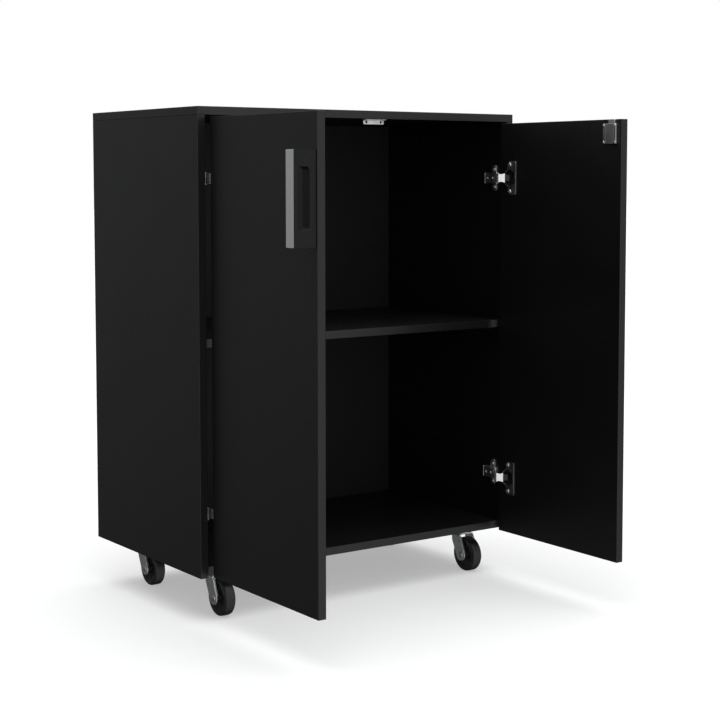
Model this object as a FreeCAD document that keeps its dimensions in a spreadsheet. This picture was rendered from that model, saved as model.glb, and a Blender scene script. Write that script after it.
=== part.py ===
import FreeCAD, Part
import os
import re
import Sketcher

# Rolling two-door pedestal cabinet on four swivel casters, in millimetres.
# +X is to the right seen from the front, +Y to the back and +Z up. The origin is on the floor
# under the middle of the carcass. Both doors stand open at a right angle to the front.
# Each door turns about one vertical axis, just inside its side board and ahead of the front edges.

SIZES = {
    # carcass of 15 mm boards, the top board lying over the side boards
    "cabinet_width": 708,
    "cabinet_depth": 410,
    "cabinet_height": 914,
    "board": 15,
    "board_edge": 0.8,
    "underside_height": 88.5,
    "front_recess": 16,
    "back_board": 3,
    "back_inset": 12,
    "groove_depth": 5,
    "groove_play": 0.2,
    "back_board_play": 0.5,
    # shelf and the pins that it rests on
    "shelf_height": 493.5,
    "shelf_play": 1,
    "pin_radius": 2.5,
    "pin_length": 16.5,
    "pin_grip": 8.5,
    "pin_setback": 37,
    "pin_pitch": 32,
    "bore_play": 0.1,
    "cut_margin": 1,
    # cam locks and the bolts that they draw in
    "cam_radius": 7.5,
    "cam_depth": 12,
    "cam_setback": 34,
    "cam_spacing": 120,
    "bolt_radius": 3.3,
    "bolt_grip": 11,
    "bolt_end_gap": 0.2,
    # doors and their turning axes
    "door_width": 334,
    "door_bottom": 90,
    "door_top": 895.5,
    "door_gap": 3,
    "pivot_inset": 1,
    "pivot_ahead": 5,
    # cup hinges
    "upper_hinge_height": 789.5,
    "lower_hinge_height": 199,
    "cup_setback": 28.5,
    "cup_radius": 17.4,
    "cup_depth": 12,
    "cup_wall": 1.2,
    "flange_width": 30,
    "flange_height": 65,
    "flange_corner": 5,
    "cup_screw_reach": 26,
    "cup_pin_radius": 1.5,
    "cup_pin_length": 27.8,
    "hinge_plate_thickness": 2.5,
    "hinge_plate_width": 27,
    "hinge_plate_height": 51,
    "hinge_plate_arm": 20,
    "hinge_plate_stem": 13,
    "hinge_plate_setback": 34.5,
    "plate_screw_reach": 17.5,
    "arm_thickness": 8.5,
    "arm_height": 21.4,
    "arm_start": 25,
    "arm_end": 53,
    "cheek_thickness": 1.5,
    "cheek_width": 7,
    "cheek_start": 16,
    "cheek_overlap": 2,
    "arm_screw_spread": 7.8,
    "link_pin_inset": 9,
    "link_pin_setback": 19,
    "link_pin_radius": 1.25,
    "link_eye_radius": 2.6,
    "link_height": 18,
    "link_bend_across": 18,
    "link_bend_ahead": 23,
    "link_reach": 41,
    "link_thickness": 2,
    # half the link's thickness along X and Y on its slanted stretch, and the mitre at its bend
    "link_slant_across": 0.8,
    "link_slant_ahead": 0.6,
    "link_mitre": 0.4,
    # pull handle on the left door
    "handle_setback": 2.6,
    "handle_width": 22,
    "handle_bottom": 682.8,
    "handle_height": 152.7,
    "handle_stand_off": 41.1,
    "handle_grip": 7.6,
    "handle_base": 12.5,
    "handle_hole_margin": 26.8,
    "handle_hole_corner": 6,
    "handle_hole_nose": 1.5,
    "handle_edge": 1,
    "handle_face_thickness": 1.5,
    "handle_face_edge": 0.4,
    "handle_screw_margin": 28,
    "handle_screw_short": 1,
    # lock on the right door, its bolt, cylinder and strike plate
    "lock_setback": 10,
    "lock_width": 34,
    "lock_height": 37,
    "lock_drop": 7.7,
    "lock_thickness": 4.5,
    "lock_corner": 0.8,
    "lock_screw_margin": 2.9,
    "lock_screw_rise": 3.6,
    "lock_bolt_setback": 23,
    "lock_bolt_width": 16.3,
    "lock_bolt_thickness": 2.4,
    "lock_bolt_length": 30,
    "lock_channel_rest": 4,
    "sliding_play": 0.3,
    "barrel_radius": 8.4,
    "barrel_rise": 18.2,
    "escutcheon_radius": 11,
    "escutcheon_height": 1.5,
    "plug_radius": 6,
    "running_play": 0.05,
    "keyway_width": 1.4,
    "keyway_height": 7,
    "keyway_depth": 5,
    "strike_left": 8.6,
    "strike_width": 47,
    "strike_drop": 9.5,
    "strike_sheet": 1.5,
    "strike_front": 12,
    "strike_back": 22,
    "strike_slot_width": 19,
    "strike_slot_depth": 5,
    "strike_slot_advance": 0.8,
    "strike_hole_radius": 1.8,
    "strike_hole_spacing": 33,
    "strike_screw_margin": 4,
    "mortise_depth": 6.5,
    # casters
    "caster_spread": 285,
    "caster_offset": 5.4,
    "front_caster_axis": -128,
    "rear_caster_axis": 139,
    "caster_plate_width": 60,
    "caster_plate_thickness": 2.5,
    "caster_screw_spacing": 46,
    "race_radius": 21,
    "race_height": 5.5,
    "race_shoulder": 4,
    "kingpin_radius": 4,
    "kingpin_head_radius": 6.5,
    "kingpin_head_height": 2.5,
    "crown_radius": 19.5,
    "crown_top": 80.2,
    "crown_shoulder": 3,
    "fork_top": 75,
    "fork_web": 2.7,
    "fork_width": 36,
    "fork_sheet": 2,
    "fork_front": 17,
    "fork_rear": 8,
    "fork_shoulder": 13,
    "fork_end_radius": 12.2,
    "fork_hole_radius": 1.8,
    "fork_hole_trail": 14,
    "fork_hole_drop": 14.5,
    # where the fork's slanted edges run into its round end
    "fork_front_inset": 0.3,
    "fork_front_rise": 2.6,
    "fork_heel": 15,
    "fork_rear_inset": 3.6,
    "fork_rear_drop": 8.5,
    "wheel_trail": 20.4,
    "wheel_radius": 34,
    "wheel_width": 20,
    "wheel_web": 14,
    "tread_inner_radius": 25,
    "tread_round": 3.4,
    "tread_cut": 1,
    "web_slope": 1.5,
    "hub_radius": 8,
    "hub_width": 31.2,
    "axle_radius": 3,
    "axle_head_radius": 5.8,
    "axle_head_height": 2,
    "axle_play": 0.02,
    # screws
    "wood_screw_radius": 2,
    "wood_screw_length": 11,
    "wood_head_radius": 4,
    "wood_head_height": 1.8,
    "small_screw_radius": 1.2,
    "small_screw_length": 10,
    "small_head_radius": 2.6,
    "small_head_height": 1.1,
    "machine_screw_radius": 2,
    "machine_head_radius": 4,
    "machine_head_height": 2.5,
}

doc = FreeCAD.newDocument("pedestal_cabinet")
sheet = doc.addObject("Spreadsheet::Sheet", "Sizes")
for row, (alias, size) in enumerate(SIZES.items(), start=1):
    sheet.set(f"A{row}", alias)
    sheet.set(f"B{row}", str(size))
    sheet.setAlias(f"B{row}", alias)
doc.recompute()

# Faces and axes of the carcass that the other pieces are placed from, as formulas of the sheet.
INNER = "(cabinet_width / 2 - board)"
FRONT = "(-cabinet_depth / 2)"
BACK = "(cabinet_depth / 2)"
TOP_UNDERSIDE = "(cabinet_height - board)"
INNER_HEIGHT = "(cabinet_height - board - underside_height)"
PIVOT_X = f"({INNER} - pivot_inset)"
PIVOT_Y = f"({FRONT} - pivot_ahead)"
DOOR_OUTSIDE = f"({PIVOT_X} - pivot_ahead)"
DOOR_INSIDE = f"({DOOR_OUTSIDE} - board)"
DOOR_HINGE_EDGE = f"({PIVOT_Y} - door_gap + pivot_inset)"
DOOR_FREE_EDGE = f"({DOOR_HINGE_EDGE} - door_width)"
# The lock on the right door, and its slot in the strike and the top board when that door is closed.
LOCK_TOP = "(door_top - lock_drop)"
LOCK_MIDDLE = "(lock_setback + lock_width / 2)"
BARREL_HEIGHT = f"({LOCK_TOP} - lock_height + barrel_rise)"
CLOSED_FREE_EDGE = f"({INNER} - door_gap - door_width)"
LOCK_SLOT_LEFT = f"({CLOSED_FREE_EDGE} + lock_bolt_setback - strike_slot_width / 2)"
LOCK_SLOT_FRONT = f"({FRONT} + board - strike_slot_advance)"
HINGE_HEIGHTS = {"upper": "upper_hinge_height", "lower": "lower_hinge_height"}
CASTERS = {
    "front_left": ("caster_offset - caster_spread", "front_caster_axis"),
    "front_right": ("caster_offset + caster_spread", "front_caster_axis"),
    "rear_left": ("caster_offset - caster_spread", "rear_caster_axis"),
    "rear_right": ("caster_offset + caster_spread", "rear_caster_axis"),
}
TURNS = {
    "x": FreeCAD.Rotation(FreeCAD.Vector(0, 1, 0), 90),
    "y": FreeCAD.Rotation(FreeCAD.Vector(1, 0, 0), -90),
    "z": FreeCAD.Rotation(),
}

sub_parts = []
pockets = []


def formula(text):
    """Write a formula of sheet aliases as an expression."""
    return re.sub(r"[a-z][a-z_]*", lambda word: "Sizes." + word.group(), str(text))


def bind(thing, path, text):
    thing.setExpression(path, formula(text))


def place(thing, corner):
    for axis, text in zip("xyz", corner):
        bind(thing, f"Placement.Base.{axis}", text)
    return thing


def keep(label, thing):
    """Make a finished object a sub-part with a label of its own."""
    thing.Label = label
    sub_parts.append(thing)
    return thing


# Solids and booleans

def block(size, corner):
    """A box of the given size with its low corner at the given point."""
    solid = doc.addObject("Part::Box", "block")
    for side, text in zip(("Length", "Width", "Height"), size):
        bind(solid, side, text)
    return place(solid, corner)


def rod(radius, length, start, along="z"):
    """A cylinder that starts at a point and runs along +X, +Y or +Z."""
    solid = doc.addObject("Part::Cylinder", "rod")
    solid.Placement = FreeCAD.Placement(FreeCAD.Vector(), TURNS[along])
    bind(solid, "Radius", radius)
    bind(solid, "Height", length)
    return place(solid, start)


def fuse(*solids):
    whole = doc.addObject("Part::MultiFuse", "fusion")
    whole.Shapes = list(solids)
    return whole


def cut(base, *tools):
    whole = doc.addObject("Part::Cut", "difference")
    whole.Base = base
    whole.Tool = tools[0] if len(tools) == 1 else fuse(*tools)
    return whole


def group(solids):
    """Several separate solids in one sub-part."""
    whole = doc.addObject("Part::Compound", "group")
    whole.Links = list(solids)
    return whole


def mirrored(solid):
    """The same piece on the left side of the cabinet."""
    copy = doc.addObject("Part::Mirroring", "mirrored")
    copy.Source = solid
    copy.Normal = FreeCAD.Vector(1, 0, 0)
    return copy


def screw(kind, length, start, along="z", point=1):
    """A screw whose head rests at start; its shank runs along the axis, or against it if point is -1."""
    x, y, z = start
    reach = {"x": x, "y": y, "z": z}
    shank_start = dict(reach)
    head_start = dict(reach)
    if point > 0:
        head_start[along] = f"{reach[along]} - {kind}_head_height"
    else:
        shank_start[along] = f"{reach[along]} - ({length})"
    shank = rod(f"{kind}_screw_radius", length, tuple(shank_start.values()), along)
    head = rod(f"{kind}_head_radius", f"{kind}_head_height", tuple(head_start.values()), along)
    return fuse(shank, head)


# Sketched bodies

def new_body(name):
    return doc.addObject("PartDesign::Body", name)


def new_sketch(body, plane, lift="0"):
    """A sketch on one of the body's own origin planes, moved along the plane's normal by lift."""
    drawing = body.newObject("Sketcher::SketchObject", body.Name + "_sketch")
    support = [item for item in body.Origin.OriginFeatures if item.Role == plane][0]
    drawing.AttachmentSupport = [(support, "")]
    drawing.MapMode = "FlatFace"
    bind(drawing, "AttachmentOffset.Base.z", lift)
    return drawing


def pin_point(drawing, piece, end, place_2d):
    """Hold one point of a sketch at formulas for its two coordinates."""
    for kind, text in zip(("DistanceX", "DistanceY"), place_2d):
        rule = drawing.addConstraint(Sketcher.Constraint(kind, -1, 1, piece, end, 1.0))
        name = f"{kind}_{piece}"
        drawing.renameConstraint(rule, name)
        bind(drawing, f"Constraints.{name}", text)


def draw_outline(drawing, points):
    """A closed outline of straight lines through points given as formulas."""
    first = drawing.GeometryCount
    count = len(points)
    for step in range(count):
        start = FreeCAD.Vector(step, step * step, 0)
        after = (step + 1) % count
        end = FreeCAD.Vector(after, after * after, 0)
        drawing.addGeometry(Part.LineSegment(start, end), False)
    for step in range(count):
        after = first + (step + 1) % count
        drawing.addConstraint(Sketcher.Constraint("Coincident", first + step, 2, after, 1))
    for step, point in enumerate(points):
        pin_point(drawing, first + step, 1, point)


def draw_rectangle(drawing, low, high):
    draw_outline(drawing, [low, (high[0], low[1]), high, (low[0], high[1])])


def draw_circle(drawing, radius, centre):
    piece = drawing.addGeometry(Part.Circle(FreeCAD.Vector(), FreeCAD.Vector(0, 0, 1), 1), False)
    pin_point(drawing, piece, 3, centre)
    rule = drawing.addConstraint(Sketcher.Constraint("Radius", piece, 1.0))
    drawing.renameConstraint(rule, f"Radius_{piece}")
    bind(drawing, f"Constraints.Radius_{piece}", radius)


def pad(body, drawing, length, symmetric=False):
    feature = body.newObject("PartDesign::Pad", body.Name + "_pad")
    feature.Profile = drawing
    feature.SideType = "Symmetric" if symmetric else "One side"
    bind(feature, "Length", length)
    return feature


def pocket(body, drawing, depth, symmetric=False, reverse=False):
    feature = body.newObject("PartDesign::Pocket", body.Name + "_pocket")
    feature.Profile = drawing
    feature.SideType = "Symmetric" if symmetric else "One side"
    feature.Reversed = reverse
    bind(feature, "Length", depth)
    pockets.append(feature)
    return feature


def round_edges(body, radius, chosen=None):
    """Round the body's edges that pass the test, or all of them."""
    doc.recompute()
    base = body.Tip
    names = [
        f"Edge{number}"
        for number, edge in enumerate(base.Shape.Edges, start=1)
        if chosen is None or chosen(edge)
    ]
    feature = body.newObject("PartDesign::Fillet", body.Name + "_fillet")
    feature.Base = (base, names)
    bind(feature, "Radius", radius)
    return feature


def sheet_body(name, size, corner, edge):
    """A flat board with rounded edges and its low corner at the given point."""
    body = new_body(name)
    drawing = new_sketch(body, "XY_Plane")
    draw_rectangle(drawing, ("0", "0"), (size[0], size[1]))
    pad(body, drawing, size[2])
    round_edges(body, edge)
    return place(body, corner)


# Carcass

def cam_bolt_bore(start, along):
    """The bore that a cam bolt lies in."""
    return rod("bolt_radius + bore_play", "cam_setback - cam_radius + bolt_grip + bore_play", start, along)


def cam_places():
    """The front and rear setting-out lines of the cam locks."""
    return ("-cam_spacing / 2", "cam_spacing / 2")


def back_groove():
    """The slot that holds the back board in the four boards around it."""
    return block(
        (f"2 * ({INNER} + groove_depth)", "back_board + 2 * groove_play",
         f"{INNER_HEIGHT} - board + 2 * groove_depth"),
        (f"-{INNER} - groove_depth", f"{BACK} - back_inset - back_board - groove_play",
         "underside_height + board - groove_depth"),
    )


def upper_cam(radius, depth, y):
    """A cam in the inner face of the right side board, near its top."""
    return rod(radius, depth, (INNER, y, f"{TOP_UNDERSIDE} - cam_setback"), "x")


def lower_cam(radius, depth, y):
    """A cam in the underside of the bottom board, near its right end."""
    return rod(radius, depth, (f"{INNER} - cam_setback", y, "underside_height"))


def upper_bolt_start(y):
    return (f"{INNER} + board / 2", y, f"{TOP_UNDERSIDE} - cam_setback + cam_radius")


def lower_bolt_start(y):
    return (f"{INNER} - cam_setback + cam_radius", y, "underside_height + board / 2")


def pin_lines():
    """Distances of the two shelf pin rows along Y."""
    return (f"{FRONT} + front_recess + pin_setback", f"{BACK} - back_inset - back_board - pin_setback")


def side_board():
    board = sheet_body(
        "side_board",
        ("board", "cabinet_depth", INNER_HEIGHT),
        (INNER, FRONT, "underside_height"),
        "board_edge",
    )
    tools = [back_groove()]
    for y in cam_places():
        tools.append(upper_cam("cam_radius + bore_play", "cam_depth + bore_play", y))
        tools.append(cam_bolt_bore(upper_bolt_start(y), "z"))
        tools.append(cam_bolt_bore(lower_bolt_start(y), "x"))
    for y in pin_lines():
        for level in (-1, 0, 1):
            height = f"shelf_height - pin_radius + {level} * pin_pitch"
            tools.append(rod("pin_radius + bore_play", "pin_grip + bore_play", (INNER, y, height), "x"))
    return cut(board, *tools)


def both_ends(make):
    """The same tool at the right and the left end of a board."""
    tools = []
    for y in cam_places():
        tools += [make(y), mirrored(make(y))]
    return tools


def build_carcass():
    right = keep("right_side_panel", side_board())
    keep("left_side_panel", mirrored(right))

    top = sheet_body(
        "top_board",
        ("cabinet_width", "cabinet_depth", "board"),
        ("-cabinet_width / 2", FRONT, TOP_UNDERSIDE),
        "board_edge",
    )
    mortise = block(
        ("strike_slot_width", "strike_slot_depth", "mortise_depth"),
        (LOCK_SLOT_LEFT, LOCK_SLOT_FRONT, TOP_UNDERSIDE),
    )
    bores = both_ends(lambda y: cam_bolt_bore(upper_bolt_start(y), "z"))
    keep("top_panel", cut(top, back_groove(), mortise, *bores))

    bottom = sheet_body(
        "bottom_board",
        (f"2 * {INNER}", "cabinet_depth - front_recess", "board"),
        (f"-{INNER}", f"{FRONT} + front_recess", "underside_height"),
        "board_edge",
    )
    bores = both_ends(lambda y: cam_bolt_bore(lower_bolt_start(y), "x"))
    seats = both_ends(lambda y: lower_cam("cam_radius + bore_play", "cam_depth + bore_play", y))
    keep("bottom_panel", cut(bottom, back_groove(), *bores, *seats))

    keep("back_panel", block(
        (f"2 * ({INNER} + groove_depth - back_board_play)", "back_board",
         f"{INNER_HEIGHT} - board + 2 * (groove_depth - back_board_play)"),
        (f"-{INNER} - groove_depth + back_board_play", f"{BACK} - back_inset - back_board",
         "underside_height + board - groove_depth + back_board_play"),
    ))
    keep("shelf", sheet_body(
        "shelf_board",
        (f"2 * ({INNER} - shelf_play)",
         "cabinet_depth - front_recess - back_inset - back_board - shelf_play", "board"),
        (f"-{INNER} + shelf_play", f"{FRONT} + front_recess", "shelf_height"),
        "board_edge",
    ))
    pins = [
        rod(
            "pin_radius", "pin_length",
            (f"{INNER} + pin_grip - pin_length", y, "shelf_height - pin_radius"),
            "x",
        )
        for y in pin_lines()
    ]
    keep("shelf_pins", group(pins + [mirrored(pin) for pin in pins]))

    cams = [upper_cam("cam_radius", "cam_depth", y) for y in cam_places()]
    cams += [lower_cam("cam_radius", "cam_depth", y) for y in cam_places()]
    keep("cam_locks", group(cams + [mirrored(cam) for cam in cams]))
    length = "cam_setback - cam_radius + bolt_grip - bolt_end_gap"
    bolts = []
    for y in cam_places():
        x, _, z = upper_bolt_start(y)
        bolts.append(rod("bolt_radius", length, (x, y, f"{z} + bolt_end_gap")))
        x, _, z = lower_bolt_start(y)
        bolts.append(rod("bolt_radius", length, (f"{x} + bolt_end_gap", y, z), "x"))
    keep("cam_bolts", group(bolts + [mirrored(bolt) for bolt in bolts]))


# Hinges: everything is drawn for the right door and mirrored for the left one

def hinge_plate(z):
    """The cross-shaped mounting plate on the side board."""
    middle = f"{FRONT} + hinge_plate_setback"
    left = f"{INNER} - hinge_plate_thickness"
    body = new_body("hinge_plate")
    drawing = new_sketch(body, "YZ_Plane")
    stem = "hinge_plate_stem / 2"
    tall = "hinge_plate_height / 2"
    wide = "hinge_plate_width / 2"
    arm = "hinge_plate_arm / 2"
    draw_outline(drawing, [
        (f"-{stem}", f"-{tall}"), (stem, f"-{tall}"), (stem, f"-{arm}"), (wide, f"-{arm}"),
        (wide, arm), (stem, arm), (stem, tall), (f"-{stem}", tall),
        (f"-{stem}", arm), (f"-{wide}", arm), (f"-{wide}", f"-{arm}"), (f"-{stem}", f"-{arm}"),
    ])
    for side in ("-", ""):
        draw_circle(drawing, "wood_screw_radius + bore_play", ("0", f"{side}plate_screw_reach"))
    pad(body, drawing, "hinge_plate_thickness")
    return place(body, (left, middle, z))


def hinge_arm(z):
    """The arm on the mounting plate, with two cheeks at its nose that hold the link's pin."""
    face = f"{INNER} - hinge_plate_thickness - arm_thickness"
    pin_x = f"{INNER} - link_pin_inset"
    bottom = f"{z} - arm_height / 2"
    web = block(
        ("arm_thickness", "arm_end - arm_start", "arm_height"),
        (face, f"{FRONT} + arm_start", bottom),
    )
    cheeks = [
        block(
            ("cheek_width", "arm_start + cheek_overlap - cheek_start", "cheek_thickness"),
            (f"{pin_x} - cheek_width / 2", f"{FRONT} + cheek_start", height),
        )
        for height in (bottom, f"{z} + arm_height / 2 - cheek_thickness")
    ]
    pin = rod("link_pin_radius", "arm_height", (pin_x, f"{FRONT} + link_pin_setback", bottom))
    return fuse(web, *cheeks, pin)


def hinge_link(z):
    """The bent link that bridges from the arm's nose to the mouth of the cup."""
    half = "link_thickness / 2"
    body = new_body("hinge_link")
    strap = new_sketch(body, "XY_Plane")
    draw_outline(strap, [
        ("link_slant_across", "-link_slant_ahead"),
        (f"{half} - link_bend_across", "-link_bend_ahead - link_mitre"),
        (f"{half} - link_bend_across", "-link_reach"),
        (f"-{half} - link_bend_across", "-link_reach"),
        (f"-{half} - link_bend_across", "-link_bend_ahead + link_mitre"),
        ("-link_slant_across", "link_slant_ahead"),
    ])
    pad(body, strap, "link_height", symmetric=True)
    eye = new_sketch(body, "XY_Plane")
    draw_circle(eye, "link_eye_radius", ("0", "0"))
    pad(body, eye, "link_height", symmetric=True)
    bore = new_sketch(body, "XY_Plane")
    draw_circle(bore, "link_pin_radius + running_play", ("0", "0"))
    pocket(body, bore, "2 * link_height", symmetric=True)
    return place(body, (f"{INNER} - link_pin_inset", f"{FRONT} + link_pin_setback", z))


def hinge_cup(z):
    """The cup let into the door, with its flange on the door's inner face."""
    y = f"{DOOR_HINGE_EDGE} - cup_setback"
    outside = f"{DOOR_INSIDE} - cup_wall"
    body = new_body("hinge_cup")
    flange = new_sketch(body, "YZ_Plane")
    half_width = "flange_width / 2"
    half_height = "flange_height / 2"
    draw_rectangle(flange, (f"-{half_width}", f"-{half_height}"), (half_width, half_height))
    pad(body, flange, "cup_wall")
    round_edges(body, "flange_corner", lambda edge: abs(edge.tangentAt(edge.FirstParameter).x) > 0.9)
    wall = new_sketch(body, "YZ_Plane")
    draw_circle(wall, "cup_radius", ("0", "0"))
    pad(body, wall, "cup_depth + cup_wall")
    hollow = new_sketch(body, "YZ_Plane")
    draw_circle(hollow, "cup_radius - cup_wall", ("0", "0"))
    pocket(body, hollow, "cup_depth", reverse=True)
    holes = new_sketch(body, "YZ_Plane")
    for side in ("-", ""):
        draw_circle(holes, "wood_screw_radius + bore_play", ("0", f"{side}cup_screw_reach"))
    pocket(body, holes, "cup_wall", reverse=True)
    place(body, (outside, y, z))
    pin = rod(
        "cup_pin_radius",
        "cup_pin_length",
        (f"{DOOR_INSIDE} + cup_depth / 2", f"{y} - cup_radius / 2", f"{z} - cup_pin_length / 2"),
    )
    return fuse(body, pin)


def build_hinges():
    plate_screws = []
    arm_screws = []
    cup_screws = []
    for name, z in HINGE_HEIGHTS.items():
        for piece, make in (
            ("hinge_plate", hinge_plate),
            ("hinge_arm", hinge_arm),
            ("hinge_link", hinge_link),
            ("hinge_cup", hinge_cup),
        ):
            right = keep(f"right_{name}_{piece}", make(z))
            keep(f"left_{name}_{piece}", mirrored(right))
        for side in ("-", "+"):
            plate_screws.append(screw(
                "wood", "wood_screw_length",
                (f"{INNER} - hinge_plate_thickness", f"{FRONT} + hinge_plate_setback",
                 f"{z} {side} plate_screw_reach"),
                "x",
            ))
            cup_screws.append(screw(
                "wood", "wood_screw_length",
                (f"{DOOR_INSIDE} - cup_wall", f"{DOOR_HINGE_EDGE} - cup_setback",
                 f"{z} {side} cup_screw_reach"),
                "x",
            ))
            arm_screws.append(rod(
                "small_head_radius", "small_head_height",
                (f"{INNER} - hinge_plate_thickness - arm_thickness - small_head_height",
                 f"{FRONT} + (arm_start + arm_end) / 2 {side} arm_screw_spread", z),
                "x",
            ))
    keep("hinge_plate_screws", group(plate_screws + [mirrored(item) for item in plate_screws]))
    keep("hinge_arm_screws", group(arm_screws + [mirrored(item) for item in arm_screws]))
    keep("right_cup_screws", group(cup_screws))
    keep("left_cup_screws", group([mirrored(item) for item in cup_screws]))


# Doors

def door_board(name, holes):
    """A door that hangs on the right, with its cup seats and round holes right through it."""
    height = "(door_top - door_bottom)"
    body = new_body(name)
    drawing = new_sketch(body, "YZ_Plane")
    draw_rectangle(drawing, ("0", "0"), ("door_width", height))
    pad(body, drawing, "board")
    round_edges(body, "board_edge")
    seats = new_sketch(body, "YZ_Plane")
    for z in HINGE_HEIGHTS.values():
        draw_circle(seats, "cup_radius + bore_play", ("door_width - cup_setback", f"{z} - door_bottom"))
    pocket(body, seats, "cup_depth + bore_play", reverse=True)
    through = new_sketch(body, "YZ_Plane")
    for radius, setback, z in holes:
        draw_circle(through, radius, (setback, f"{z} - door_bottom"))
    pocket(body, through, "board", reverse=True)
    return place(body, (DOOR_INSIDE, DOOR_FREE_EDGE, "door_bottom"))


HANDLE_MIDDLE = "handle_setback + handle_width / 2"
HANDLE_SCREWS = (
    "handle_bottom + handle_screw_margin / 2",
    "handle_bottom + handle_height - handle_screw_margin / 2",
)


def handle_body():
    """A closed loop: a base on the door, two posts and the grip, with a rounded finger hole."""
    far = "handle_stand_off"
    body = new_body("handle")
    drawing = new_sketch(body, "XZ_Plane")
    draw_rectangle(drawing, ("0", "0"), (far, "handle_height"))
    draw_rectangle(
        drawing,
        ("handle_base", "handle_hole_margin"),
        (f"{far} - handle_grip", "handle_height - handle_hole_margin"),
    )
    pad(body, drawing, "handle_width")
    base = SIZES["handle_base"]
    nose = SIZES["handle_stand_off"] - SIZES["handle_grip"]

    def across(edge):
        return abs(edge.tangentAt(edge.FirstParameter).y) > 0.9

    def across_at(x):
        return lambda edge: across(edge) and abs(edge.CenterOfMass.x - x) < 0.1

    round_edges(body, "handle_hole_corner", across_at(base))
    round_edges(body, "handle_hole_nose", across_at(nose))
    round_edges(body, "handle_edge", lambda edge: edge.BoundBox.XMin > 0.1 and not across(edge))
    place(body, (DOOR_OUTSIDE, f"{DOOR_FREE_EDGE} + handle_setback + handle_width", "handle_bottom"))
    bores = [
        rod(
            "machine_screw_radius + bore_play", "handle_base",
            (DOOR_OUTSIDE, f"{DOOR_FREE_EDGE} + {HANDLE_MIDDLE}", z),
            "x",
        )
        for z in HANDLE_SCREWS
    ]
    return cut(body, *bores)


def build_left_door():
    bores = [("machine_screw_radius + bore_play", HANDLE_MIDDLE, z) for z in HANDLE_SCREWS]
    keep("left_door_panel", mirrored(door_board("left_door", bores)))
    keep("handle_body", mirrored(handle_body()))
    keep("handle_face", mirrored(sheet_body(
        "handle_plate",
        ("handle_face_thickness", "handle_width", "handle_height"),
        (f"{DOOR_OUTSIDE} + handle_stand_off", f"{DOOR_FREE_EDGE} + handle_setback", "handle_bottom"),
        "handle_face_edge",
    )))
    keep("handle_screws", group([
        mirrored(screw(
            "machine", "board + handle_base - handle_screw_short",
            (DOOR_INSIDE, f"{DOOR_FREE_EDGE} + {HANDLE_MIDDLE}", z),
            "x",
        ))
        for z in HANDLE_SCREWS
    ]))


# Lock: the case sits on the right door's inner face, the strike under the top board


def lock_case():
    case = sheet_body(
        "lock",
        ("lock_thickness", "lock_width", "lock_height"),
        (f"{DOOR_INSIDE} - lock_thickness", f"{DOOR_FREE_EDGE} + lock_setback", f"{LOCK_TOP} - lock_height"),
        "lock_corner",
    )
    channel = block(
        ("lock_bolt_thickness + 2 * sliding_play", "lock_bolt_width + 2 * sliding_play", "lock_bolt_length"),
        (f"{DOOR_INSIDE} - lock_bolt_thickness - 2 * sliding_play",
         f"{DOOR_FREE_EDGE} + lock_bolt_setback - lock_bolt_width / 2 - sliding_play",
         "door_top - lock_bolt_length - lock_channel_rest"),
    )
    holes = [
        rod("small_screw_radius + bore_play", "lock_thickness", start, "x")
        for start in lock_screw_starts()
    ]
    return cut(case, channel, *holes)


def lock_screw_starts():
    """Where the four corner screws meet the face of the lock case."""
    left = f"{DOOR_FREE_EDGE} + lock_setback + lock_screw_margin"
    right = f"{DOOR_FREE_EDGE} + lock_setback + lock_width - lock_screw_margin"
    low = f"{LOCK_TOP} - lock_height + lock_screw_rise"
    high = f"{LOCK_TOP} - lock_screw_rise"
    return [(f"{DOOR_INSIDE} - lock_thickness", y, z) for y in (left, right) for z in (low, high)]


def lock_barrel():
    middle = f"{DOOR_FREE_EDGE} + {LOCK_MIDDLE}"
    start = f"{DOOR_INSIDE} + sliding_play"
    body = rod("barrel_radius", "board - sliding_play", (start, middle, BARREL_HEIGHT), "x")
    ring = rod("escutcheon_radius", "escutcheon_height", (DOOR_OUTSIDE, middle, BARREL_HEIGHT), "x")
    bore = rod("plug_radius + running_play", "board + escutcheon_height", (start, middle, BARREL_HEIGHT), "x")
    return cut(fuse(body, ring), bore)


def lock_plug():
    middle = f"{DOOR_FREE_EDGE} + {LOCK_MIDDLE}"
    plug = rod(
        "plug_radius", "board + escutcheon_height - sliding_play",
        (f"{DOOR_INSIDE} + 2 * sliding_play", middle, BARREL_HEIGHT), "x",
    )
    keyway = block(
        ("keyway_depth", "keyway_width", "keyway_height"),
        (f"{DOOR_OUTSIDE} + escutcheon_height + sliding_play - keyway_depth",
         f"{middle} - keyway_width / 2", f"{BARREL_HEIGHT} - keyway_height / 2"),
    )
    return cut(plug, keyway)


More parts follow.
